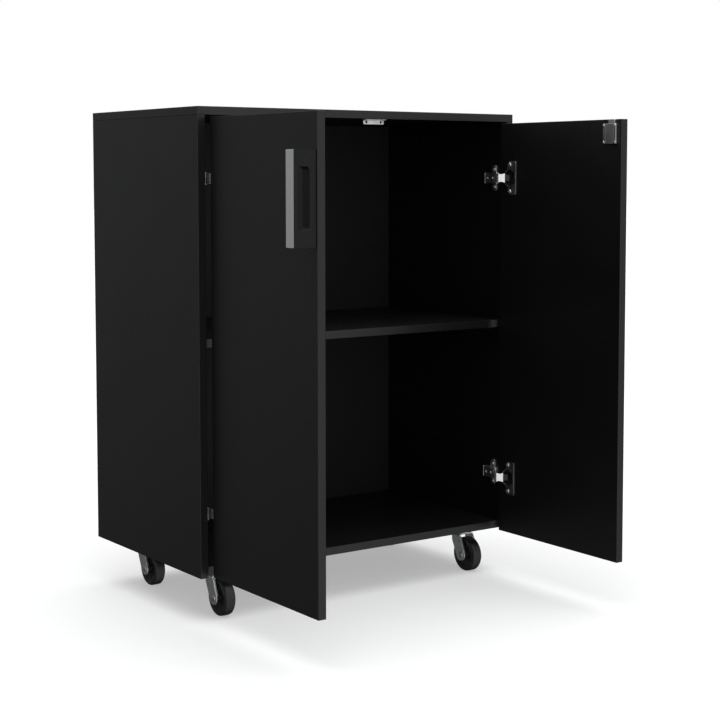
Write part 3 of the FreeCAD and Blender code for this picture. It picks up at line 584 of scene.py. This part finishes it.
def add_screws(node, body, head_height, axis="x"):
    """Screws where a CAD group has them: heads towards the middle of the cabinet, or down for axis z."""
    shapes = []
    one = None
    for low, high in solid_boxes(node):
        middle = (low + high) / 2
        size = (high - low) / MM
        radius = (size.z if axis == "x" else size.x) / 2
        length = (size.x if axis == "x" else size.z) - head_height
        if axis == "x":
            side = 1 if middle.x > 0 else -1
            seat = Vector(((low.x if side > 0 else high.x) + side * head_height * MM, middle.y, middle.z))
            turn = Matrix.Rotation(-side * math.pi / 2, 4, "Y")
        else:
            seat = Vector((middle.x, middle.y, low.z + head_height * MM))
            turn = Matrix.Rotation(math.pi, 4, "X")
        one = one or screw(radius, head_height, radius * SHANK, length)
        turn = turn @ Matrix.Rotation(SCREW_TURN * len(shapes), 4, "Z")
        shapes.append(moved(one, at(seat, turn=turn)))
    add_piece(f"detailed_{node}", shapes, [ZINC], body, [node], STILL)


def add_all_screws():
    add_screws("hinge_plate_screws", "carcass", MIDDLE_HEAD)
    add_screws("hinge_arm_screws", "carcass", LOW_HEAD)
    add_screws("right_cup_screws", "right_door", MIDDLE_HEAD)
    add_screws("left_cup_screws", "left_door", MIDDLE_HEAD)
    add_screws("handle_screws", "left_door", TALL_HEAD)
    add_screws("lock_screws", "right_door", LOW_HEAD)
    add_screws("strike_screws", "carcass", LOW_HEAD, "z")
    add_screws("caster_screws", "carcass", MIDDLE_HEAD, "z")


# Hinges, drawn for the right side: X 0 is the side board's inner face, Y 0 its front edge, Z 0 the
# hinge's middle. The door's inner face is at X -21, and the cup's middle 35.5 ahead of the front edge.

PIN = Vector((-9, 19))
PLATE_Y = 34.5
PLATE_SHEET = 2.5
ARM_BACK = -11
ARM_REAR = 53
ARM_LENGTH = 28
ARM_HALF_HEIGHT = 10.7
DOOR_FACE = -21
CUP_Y = -35.5
FLANGE = 1.2
CUP_SCREW_SPREAD = 26
LINK_BEND = Vector((-36, -14))
LINK_MOUTH = Vector((-23.5, -26))
LINK_END = Vector((-18, -30.5))
LINK_SMOOTHING = 10
LINK_HALF_SHEET = 1
LINK_HALF_HEIGHT = 9
LINK_WAIST = 0.2
LINK_WAIST_LENGTH = 3.6
TAPER_START = -25.5
TAPER_LENGTH = 1.5
TAPER = 0.35


def hinge_plate_shape():
    """The stamped cross plate with its raised rib and slotted ears."""
    stem, tall, wide, arm = 6.5, 25.5, 13.5, 10
    cross = rounded([
        (-stem, -tall, 5.5), (stem, -tall, 5.5), (stem, -arm, 2.5), (wide, -arm, 3), (wide, arm, 3),
        (stem, arm, 2.5), (stem, tall, 5.5), (-stem, tall, 5.5), (-stem, arm, 2.5), (-wide, arm, 3),
        (-wide, -arm, 3), (-stem, -arm, 2.5),
    ])
    slots = [slot_outline(0, z, 7, 4.4) for z in (-17.5, 17.5)]
    base = plate(cross, PLATE_SHEET, 0.6, slots)
    ribs = [shifted(plate(slot_outline(y, 0, 15, 2.2), 1.2, 0.5), z=-0.8) for y in (-10, 10)]
    shape = joined([base] + ribs)
    return moved(shape, Matrix.Translation((-PLATE_SHEET, PLATE_Y, 0)) @ SIDEWAYS)


def hinge_arm_shape():
    """The folded arm: a channel with a slotted back, two cheeks at its nose and the riveted pin."""
    half, sheet = ARM_HALF_HEIGHT, 1.2
    channel = plate(rounded([
        (8.5, -half), (8.5, -half + sheet), (sheet, -half + sheet, 1.1), (sheet, half - sheet, 1.1),
        (8.5, half - sheet), (8.5, half), (0, half, 2.3), (0, -half, 2.3),
    ][::-1], steps=4), ARM_LENGTH, 0.35)
    channel = moved(channel, Matrix.Translation((ARM_BACK, ARM_REAR, 0)) @ FORWARD)
    through = Matrix.Translation((ARM_BACK - 1, 0, 0)) @ SIDEWAYS
    slot = plate(slot_outline(46.8, 0, 3.2, 3.2), 4, 0)
    window = plate(rectangle(35.6, -2.6, 42.4, 2.6, 1.2), 4, 0)
    channel = carved(channel, moved(slot, through), moved(window, through))
    cheek = plate(rounded([
        (PIN.x + 3.5, 29, 0), (ARM_BACK, 29, 0), (ARM_BACK, 26.5, 1.5), (PIN.x - 3.4, 22.5, 1.5),
        (PIN.x - 3.4, 15.6, 3.2), (PIN.x + 3.4, 15.6, 3.2), (PIN.x + 3.5, 22, 1.5),
    ][::-1], steps=6), sheet, 0.3)
    cheeks = [shifted(cheek, z=-half), shifted(cheek, z=half - sheet)]
    pin = lathe(rounded([
        (0, -half - 0.5), (2.1, -half - 0.5, 0.4), (2.1, -half, 0), (1.25, -half, 0),
        (1.25, half, 0), (2.1, half, 0), (2.1, half + 0.5, 0.4), (0, half + 0.5),
    ], steps=3), 24)
    return joined([channel] + cheeks + [shifted(pin, PIN.x, PIN.y)])


def link_path():
    """The link's middle line: from the pin out past the door's edge, then back slantwise into the cup."""
    corners = [PIN, LINK_BEND, LINK_MOUTH, LINK_END]
    path = []
    for start, end in zip(corners, corners[1:]):
        count = round((end - start).length)
        path += [start.lerp(end, step / count) for step in range(count)]
    path.append(LINK_END)
    for _ in range(LINK_SMOOTHING):
        inner = [(before + here * 2 + after) / 4 for before, here, after in zip(path, path[1:], path[2:])]
        path = [path[0]] + inner + [path[-1]]
    return path


def hinge_link_shape():
    """The bent link: an eye round the pin and a strap that is waisted where it shows. The strap's end inside
    the cup takes the black second material as painted shade.
    """
    tall = LINK_HALF_HEIGHT
    strap = shifted(plate(ribbon(link_path(), LINK_HALF_SHEET), 2 * tall, 0.35), z=-tall)
    waist = (LINK_BEND.y + LINK_MOUTH.y) / 2
    for vert in strap.verts:
        off = (vert.co.y - waist) / LINK_WAIST_LENGTH
        inside = min(max((TAPER_START - vert.co.y) / TAPER_LENGTH, 0), 1)
        vert.co.z *= (1 - LINK_WAIST * math.exp(-off * off)) * (1 - TAPER * inside)
    # The strap's faces inside the cup take the black material: painted shade, not a black part of the link.
    for face in strap.faces:
        if face.calc_center_median().y < LINK_MOUTH.y + 0.8:
            face.material_index = 1
    eye = lathe(rounded([
        (1.32, -tall), (2.7, -tall), (2.7, tall), (1.32, tall),
    ], 0.3, 3), 32)
    return joined([strap, shifted(eye, PIN.x, PIN.y)])


def hinge_cup_shape():
    """The pressed cup with its flange and rolled rim, and inside it the dark damper case and cross pin. A
    black lining over its inner wall is painted shade.
    """
    far, ear, tall = -17.8, 5.5, 32.5
    rim, mouth, wall = 18.2, 16.2, 17.4
    bulge = math.acos(ear / rim)
    ears = [(ear, tall, 6), (far, tall, 2.5), (far, -tall, 2.5), (ear, -tall, 6)]
    outline = rounded(ears + [tuple(point) for point in arc_points((0, 0), rim, -bulge, 2 * bulge, 24)])
    screw_holes = [circle(0, z, 2.3, 24) for z in (-CUP_SCREW_SPREAD, CUP_SCREW_SPREAD)]
    flange = plate(outline, FLANGE, 0.12, [circle(0, 0, mouth, 64)] + screw_holes)
    shell = lathe(rounded([
        (mouth, 0.4, 0), (mouth, 12, 2.6), (0, 12), (0, 13.2), (wall, 13.2, 3.4), (wall, 0.4, 0),
    ], steps=5), 72)
    # A black lining over the cup's inner wall: painted shade, not a part of the hinge.
    painted_shade_liner = lathe(rounded([
        (15.4, 1.0, 0.3), (15.4, 9.5, 2), (0, 9.5), (0, 11.9), (15.9, 11.9, 2), (16.15, 1.0, 0.2),
    ], steps=4), 72)
    stand = Matrix.Rotation(math.pi / 2, 4, "X")
    pin = lathe([(0, -13.6), (1.5, -13.6), (1.5, 13.6), (0, 13.6)], 24)
    pin = shifted(moved(pin, stand), -8.7, 0, 7.2)
    case = rounded([(-13, 5.6, 1), (-3, 5.6, 1), (2, 7.6, 1), (2, 9.6, 0), (-13, 9.6, 0)], steps=3)
    cases = [moved(plate(case, 2.2, 0.3), Matrix.Translation((0, z, 0)) @ stand) for z in (-9.6, 11.8)]
    dark = [painted(shape, 1) for shape in [painted_shade_liner] + cases]
    shape = joined([flange, shell, pin] + dark)
    return moved(shape, Matrix.Translation((DOOR_FACE - FLANGE, CUP_Y, 0)) @ SIDEWAYS)


def add_hinges():
    shapes = {
        "plate": (hinge_plate_shape(), NICKEL, "carcass"),
        "arm": (hinge_arm_shape(), NICKEL, "carcass"),
        "link": (hinge_link_shape(), LINK_STEEL_PAINTED_BRIGHT, "{side}_links"),
        "cup": (hinge_cup_shape(), NICKEL, "{side}_door"),
    }
    for side, mirror in SIDES.items():
        board_low, board_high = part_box(f"{side}_side_panel")
        wall = board_low.x if mirror > 0 else board_high.x
        for level in LEVELS:
            middle = centre(f"{side}_{level}_hinge_plate").z
            place = at((wall, board_low.y, middle), mirror)
            for part, (shape, metal, body) in shapes.items():
                node = f"{side}_{level}_hinge_{part}"
                # The second material is the dampers' black plastic and the painted shade inside the cup.
                add_piece(f"detailed_{node}", [shape], [metal, DAMPER_AND_PAINTED_SHADE], body.format(side=side),
                          [node], place)


# Casters, drawn with their swivel axis on Z and the floor at Z 0; the wheel trails towards -Y

AXLE = Vector((-20.4, 34))
WHEEL_RADIUS = 34
FORK_HALF_WIDTH = 18
FORK_SHEET = 2.0
FORK_FRONT, FORK_REAR = -17, 8
FORK_JOINT = 69  # height where the bridge meets the side plates
PLATE_BOTTOM = 86
PLATE_HALF = 30
PLATE_HOLE = 23
KINGPIN = 4.05
AXLE_HEAD = 5.8
WHEEL_RIBS = 10


def caster_plate_shape():
    """The top plate with the pressed race, its ball track and the kingpin."""
    half, hole = PLATE_HALF, PLATE_HOLE
    holes = [circle(x, y, 2.4, 20) for x in (-hole, hole) for y in (-hole, hole)]
    top = shifted(plate(rectangle(-half, -half, half, half, 6, 8), 2.5, 0.7, holes), z=PLATE_BOTTOM)
    race = lathe(rounded([
        (0, 86.4), (23.5, 86.4, 0), (21.5, 85.6, 1.0), (20.4, 82.6, 1.2), (17.6, 80.5, 1.4), (12, 80.5, 1),
        (11, 82, 1), (4, 82, 0), (4, 72, 0), (6.5, 72, 0.3), (5.4, 69.5, 1.2), (0, 69.5),
    ], steps=4), 72)
    return joined([top, race])


def caster_fork_shape():
    """The pressed fork: a domed crown, a folded bridge, and two side plates with a bent front lip."""
    outside, sheet, joint = FORK_HALF_WIDTH, FORK_SHEET, FORK_JOINT
    bridge = plate(rounded([
        (outside - sheet, joint), (outside, joint), (outside, 75, 5.5), (-outside, 75, 5.5),
        (-outside, joint), (-outside + sheet, joint), (-outside + sheet, 72.6, 3.5),
        (outside - sheet, 72.6, 3.5),
    ], steps=8), FORK_REAR - FORK_FRONT, 0.5)
    bridge = moved(bridge, Matrix.Translation((0, FORK_REAR, 0)) @ FORWARD)
    outline = rounded([
        (FORK_FRONT, joint, 0.8), (-32.9, 36, 6), (-32.5, 21.8, 11.5), (-11, 21.8, 9), (-5.3, 34, 9),
        (FORK_REAR, 61, 8), (FORK_REAR, joint, 0.8),
    ], steps=8)
    cheek = plate(outline, sheet, 0.6, [circle(-14, 60.5, 1.8, 20), circle(*AXLE, 3.02, 24)])
    cheeks = [moved(cheek, Matrix.Translation((x, 0, 0)) @ SIDEWAYS) for x in (-outside, outside - sheet)]
    lip = [Vector(spot) for spot in ((-16.2, 70), (-21.2, 59.5), (-26.2, 49), (-28.9, 43), (-30.2, 39))]
    lip = plate(ribbon(lip, 0.9), 4.6, 0.5)
    lips = [moved(lip, Matrix.Translation((x, 0, 0)) @ SIDEWAYS) for x in (-outside + 0.1, outside - 4.7)]
    crown = lathe(rounded([
        (KINGPIN, 72.6), (15, 72.6, 1), (19.5, 75, 0.8), (19.5, 78.4, 1.4), (17.2, 80.2, 1.6),
        (11.5, 80.2, 1), (10.5, 78.8, 1), (KINGPIN, 78.8),
    ], steps=4), 72)
    return joined([bridge, crown] + cheeks + lips)


def caster_axle_shape():
    """The riveted axle: a spun dome at one end and a rolled collar at the other."""
    end, head = FORK_HALF_WIDTH, AXLE_HEAD
    axle = lathe(rounded([
        (0, -end - 2), (3, -end - 2, 1.4), (head, -end - 0.9, 0.7), (head, -end, 0), (3, -end, 0),
        (3, end, 0), (head, end, 0), (head, end + 1.2, 0.5), (3.7, end + 2, 0.6), (2.2, end + 1.2, 0.5),
        (0, end + 1.2),
    ], steps=5), 40)
    return moved(axle, Matrix.Translation((0, AXLE.x, AXLE.y)) @ SIDEWAYS)


def caster_wheel_shape():
    """The moulded wheel: a ribbed core with a long hub and a rounded tyre with a parting groove."""
    half = [
        (3.05, 15.6, 0.2), (7.2, 15.6, 0.9), (8.0, 7.2, 1.4), (22.6, 7.2, 1.4), (23.8, 9.5, 0.8),
        (27.6, 9.5, 0.3),
    ]
    core = lathe(rounded([(r, -x, arc) for r, x, arc in half] + half[::-1], steps=4), 72)
    ribs = []
    for step in range(WHEEL_RIBS):
        rib = plate(rectangle(7.4, -8.7, 24, 8.7, 1.0, 3), 1.6, 0.4)
        rib = shifted(moved(rib, Matrix.Rotation(math.pi / 2, 4, "X")), y=0.8)
        ribs.append(moved(rib, Matrix.Rotation(math.tau * step / WHEEL_RIBS, 4, "Z")))
    half = [(27.2, 9.3, 0), (28, 9.3, 0.3), (28.7, 10, 0.5), (WHEEL_RADIUS - 0.25, 10, 3.6)]
    tread = [(WHEEL_RADIUS, 0, 12)]
    tyre = lathe(rounded([(r, -x, arc) for r, x, arc in half] + tread + half[::-1], steps=8), 96)
    shape = joined([painted(tyre, 0), painted(core, 1)] + [painted(rib, 1) for rib in ribs])
    return moved(shape, Matrix.Translation((0, AXLE.x, AXLE.y)) @ SIDEWAYS)


def add_casters():
    parts = {
        "plate": (caster_plate_shape(), [ZINC_STEEL], "carcass", "zinc_steel"),
        "fork": (caster_fork_shape(), [ZINC_STEEL], "{corner}_swivel", "zinc_steel"),
        "axle": (caster_axle_shape(), [ZINC], "{corner}_swivel", "zinc_steel"),
        "wheel": (caster_wheel_shape(), [TYRE, CORE], "{corner}_wheel", "black_wheel"),
    }
    for corner in CORNERS:
        middle = centre(f"{corner}_caster_plate")
        for part, (shape, materials, body, slot) in parts.items():
            node = f"{corner}_caster_{part}"
            add_piece(f"detailed_{node}", [shape], materials, body.format(corner=corner), [node],
                      at((middle.x, middle.y, 0)))


# Lock, on the right door

CASE_GROOVE = 0.7
BOLT_CHANNEL = 3.0
BOLT_PLAY = 0.3
KEYWAY_DEPTH = 5


def add_lock():
    low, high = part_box("lock_case")
    size = (high - low) / MM
    wide, tall, deep = size.y / 2, size.z / 2, size.x
    middle = Vector((low.x, (low.y + high.y) / 2, (low.z + high.z) / 2))
    screws = [((box[0] + box[1]) / 2 - middle) / MM for box in solid_boxes("lock_screws")]
    holes = [circle(spot.y, spot.z, 1.35, 16) for spot in screws]
    case = plate(rectangle(-wide, -tall, wide, tall, 1.6), deep, 1.1, holes, 4)
    bolt_low, bolt_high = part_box("lock_bolt")
    bolt_y = ((bolt_low.y + bolt_high.y) / 2 - middle.y) / MM
    bolt_half = (bolt_high.y - bolt_low.y) / 2 / MM
    reach = bolt_half + BOLT_PLAY
    channel = plate(rectangle(bolt_y - reach, -8, bolt_y + reach, tall + 5), BOLT_CHANNEL, 0)
    groove = plate(
        rectangle(-wide + 6.6, -tall + 2.6, wide - 6.6, tall - 2.6, 1.2), CASE_GROOVE, 0,
        [rectangle(-wide + 7.3, -tall + 3.3, wide - 7.3, tall - 3.3, 0.8)],
    )
    case = carved(case, shifted(channel, z=deep - BOLT_CHANNEL), shifted(groove, z=-CASE_GROOVE / 2))
    add_piece("detailed_lock_case", [moved(case, SIDEWAYS)], [LOCK_METAL], "right_door",
              ["lock_case"], at(middle))

    length = (bolt_high.z - bolt_low.z) / MM
    bolt = plate(rounded([
        (-bolt_half, 0, 0.8), (bolt_half, 0, 0.8), (bolt_half, length, 1.8), (-bolt_half, length, 1.8),
    ]), (bolt_high.x - bolt_low.x) / MM, 0.45, [slot_outline(0, 12, 6, 3)])
    bolt_place = (bolt_low.x, (bolt_low.y + bolt_high.y) / 2, bolt_low.z)
    add_piece("detailed_lock_bolt", [moved(bolt, SIDEWAYS)], [NICKEL], "lock_slide",
              ["lock_bolt"], at(bolt_place))

    low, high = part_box("lock_barrel")
    depth = (high.x - low.x) / MM
    ring = lathe(rounded([
        (6.05, 0, 0.2), (8.4, 0, 0.2), (8.4, depth - 1.5, 0), (11, depth - 1.5, 0.2), (10.4, depth, 0.7),
        (7.6, depth, 0.3), (7.0, depth - 0.6, 0.3), (6.05, depth - 0.6, 0),
    ], steps=4), 64)
    place = at((low.x, (low.y + high.y) / 2, (low.z + high.z) / 2))
    add_piece("detailed_lock_barrel", [moved(ring, SIDEWAYS)], [LOCK_METAL], "right_door",
              ["lock_barrel"], place)

    low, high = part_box("lock_plug")
    depth = (high.x - low.x) / MM
    plug = lathe(rounded([
        (0, 0), (6, 0, 0.3), (6, depth - 0.4, 0.5), (3.4, depth, 0.4), (0, depth),
    ], steps=4), 48)
    keyway = united(
        plate(rectangle(-0.7, -3.5, 0.7, 3.5, 0.3), 6, 0),
        plate(rectangle(-1.3, 1.0, 1.3, 2.2, 0.3), 6, 0),
    )
    plug = carved(plug, shifted(keyway, z=depth - KEYWAY_DEPTH))
    place = at((low.x, (low.y + high.y) / 2, (low.z + high.z) / 2))
    add_piece("detailed_lock_plug", [moved(plug, SIDEWAYS)], [LOCK_METAL], "lock_cylinder",
              ["lock_plug"], place)


STRIKE_SHEET = 1.5
STRIKE_SLOT = (6.3, 26.3)
STRIKE_HOLE_SPREAD = 16.5


def add_strike():
    """The bent strike: a slotted leg under the top board and a pierced leg that hangs behind it."""
    low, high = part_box("strike_plate")
    wide, deep, drop = (high - low) / MM
    sheet = STRIKE_SHEET
    slot_low, slot_high = STRIKE_SLOT
    screws = [((box[0] + box[1]) / 2 - low) / MM for box in solid_boxes("strike_screws")]
    flat = plate(
        rectangle(0, 0, wide, deep, 1.2), sheet, 0.3,
        [circle(spot.x, spot.y, 1.35, 16) for spot in screws]
        + [rectangle(slot_low + 0.5, 2.2, slot_high - 0.5, 7.2, 0.8)],
    )
    hanging = plate(rectangle(0, 0, wide, drop, 2.4, 6), sheet, 0.35,
                    [circle(wide / 2 + x, 4.2, 2.2, 24) for x in (-STRIKE_HOLE_SPREAD, STRIKE_HOLE_SPREAD)])
    shapes = [shifted(flat, z=drop - sheet), moved(hanging, Matrix.Translation((0, deep, 0)) @ FORWARD)]
    add_piece("detailed_strike_plate", shapes, [NICKEL], "carcass", ["strike_plate"], at(low))


# Shelf pins and cam locks

def add_shelf_pins():
    shapes = []
    for low, high in solid_boxes("shelf_pins"):
        side = 1 if low.x + high.x > 0 else -1
        length = (high.x - low.x) / MM
        pin = lathe(rounded([
            (0, 0), (2.5, 0, 0.9), (2.5, 7.2, 0), (3.3, 7.2, 0.2), (3.3, 8.0, 0.2), (2.5, 8.0, 0),
            (2.5, length, 0.4), (0, length),
        ], steps=4), 32)
        start = (low.x if side > 0 else high.x, (low.y + high.y) / 2, (low.z + high.z) / 2)
        shapes.append(moved(pin, at(start, turn=Matrix.Rotation(side * math.pi / 2, 4, "Y"))))
    add_piece("detailed_shelf_pins", shapes, [ZINC], "carcass", ["shelf_pins"], STILL)


FLAT_CAM_TURN = math.radians(25)
SIDE_CAM_TURN = math.radians(70)
UPRIGHT_CAM = 0.0135  # metres: an upright cam is lower than this, and one on its side is taller


def add_cam_locks():
    """Turned cams with a crossed slot and a pointer notch; their open faces look inwards or down."""
    cam = lathe(rounded([
        (0, 0.3), (4.6, 0.3, 0), (4.6, 0.6, 0.2), (5.4, 0.6, 0.2), (5.6, 0.05, 0.2), (7.5, 0.05, 0.3),
        (7.5, 12, 0.3), (0, 12),
    ], steps=3), 48)
    slits = united(
        plate(rectangle(-3.6, -0.6, 3.6, 0.6, 0.2), 3, 0),
        plate(rectangle(-0.6, -3.6, 0.6, 3.6, 0.2), 3, 0),
    )
    notch = plate([Vector((5.6, -1)), Vector((7.2, 0)), Vector((5.6, 1))], 2, 0)
    cam = carved(cam, shifted(slits, z=-0.5), shifted(notch, z=-1.4))
    shapes = []
    for low, high in solid_boxes("cam_locks"):
        middle = (low + high) / 2
        upright = high.z - low.z < UPRIGHT_CAM
        side = 1 if middle.x > 0 else -1
        start = middle.copy()
        if upright:
            start.z = low.z
            turn = Matrix.Rotation(FLAT_CAM_TURN, 4, "Z")
        else:
            start.x = low.x if side > 0 else high.x
            turn = Matrix.Rotation(side * math.pi / 2, 4, "Y") @ Matrix.Rotation(SIDE_CAM_TURN, 4, "Z")
        shapes.append(moved(cam, at(start, turn=turn)))
    add_piece("detailed_cam_locks", shapes, [CAST_ZINC], "carcass", ["cam_locks"], STILL)


# Stage and light

FLOOR_SIZE = 30
FLOOR_TONE = 0.55
FLOOR_GLOW = 0.38
SUN_ENERGY = 2.9
SUN_ANGLE = math.radians(70)


def add_floor():
    shape = bmesh.new()
    bmesh.ops.create_grid(shape, x_segments=1, y_segments=1, size=FLOOR_SIZE)
    mesh = bpy.data.meshes.new("floor")
    shape.to_mesh(mesh)
    material, tree, shader = new_material("pale_floor", [FLOOR_TONE] * 3, 0.8)
    shader.inputs["Specular IOR Level"].default_value = 0.1
    shader.inputs["Emission Color"].default_value = (1, 1, 1, 1)
    shader.inputs["Emission Strength"].default_value = FLOOR_GLOW
    mesh.materials.append(material)
    floor = bpy.data.objects.new("floor", mesh)
    bpy.context.scene.collection.objects.link(floor)
    floor.visible_glossy = False


def add_light():
    """A room that is bright in front and dim behind, low down and to the right, and light from overhead."""
    world = bpy.data.worlds.new("studio")
    world.use_nodes = True
    tree = world.node_tree
    tree.nodes.clear()
    seen = add_node(tree, "ShaderNodeBackground", {"Color": (1, 1, 1, 1), "Strength": 1.0})
    ray = add_node(tree, "ShaderNodeTexCoord").outputs["Generated"]
    axes = add_node(tree, "ShaderNodeSeparateXYZ", {"Vector": ray})
    behind = remap(tree, axes.outputs["Z"], -0.35, 0.25, 0.05, 0.31)
    ahead = remap(tree, axes.outputs["Z"], -0.6, 0.2, 0.65, 1.03)
    forward = remap(tree, axes.outputs["Y"], 0.1, -0.45, 0, 1)
    sideways = remap(tree, axes.outputs["X"], 0.5, 0.85, 1, 0.3)
    strength = add_node(tree, "ShaderNodeMix", {0: forward, 2: behind, 3: ahead}).outputs[0]
    strength = arithmetic(tree, "MULTIPLY", strength, sideways)
    lit = add_node(tree, "ShaderNodeBackground", {"Color": (0.97, 0.985, 1, 1), "Strength": strength})
    direct = add_node(tree, "ShaderNodeLightPath").outputs["Is Camera Ray"]
    both = add_node(tree, "ShaderNodeMixShader", {0: direct, 1: lit.outputs[0], 2: seen.outputs[0]})
    add_node(tree, "ShaderNodeOutputWorld", {"Surface": both.outputs[0]})
    bpy.context.scene.world = world
    data = bpy.data.lights.new("overhead", "SUN")
    data.energy = SUN_ENERGY
    data.angle = SUN_ANGLE
    bpy.context.scene.collection.objects.link(bpy.data.objects.new("overhead", data))


bpy.context.scene.view_settings.view_transform = "Standard"
add_camera()
dress_cad_nodes()
add_all_screws()
add_hinges()
add_casters()
add_lock()
add_strike()
add_shelf_pins()
add_cam_locks()
add_floor()
add_light()
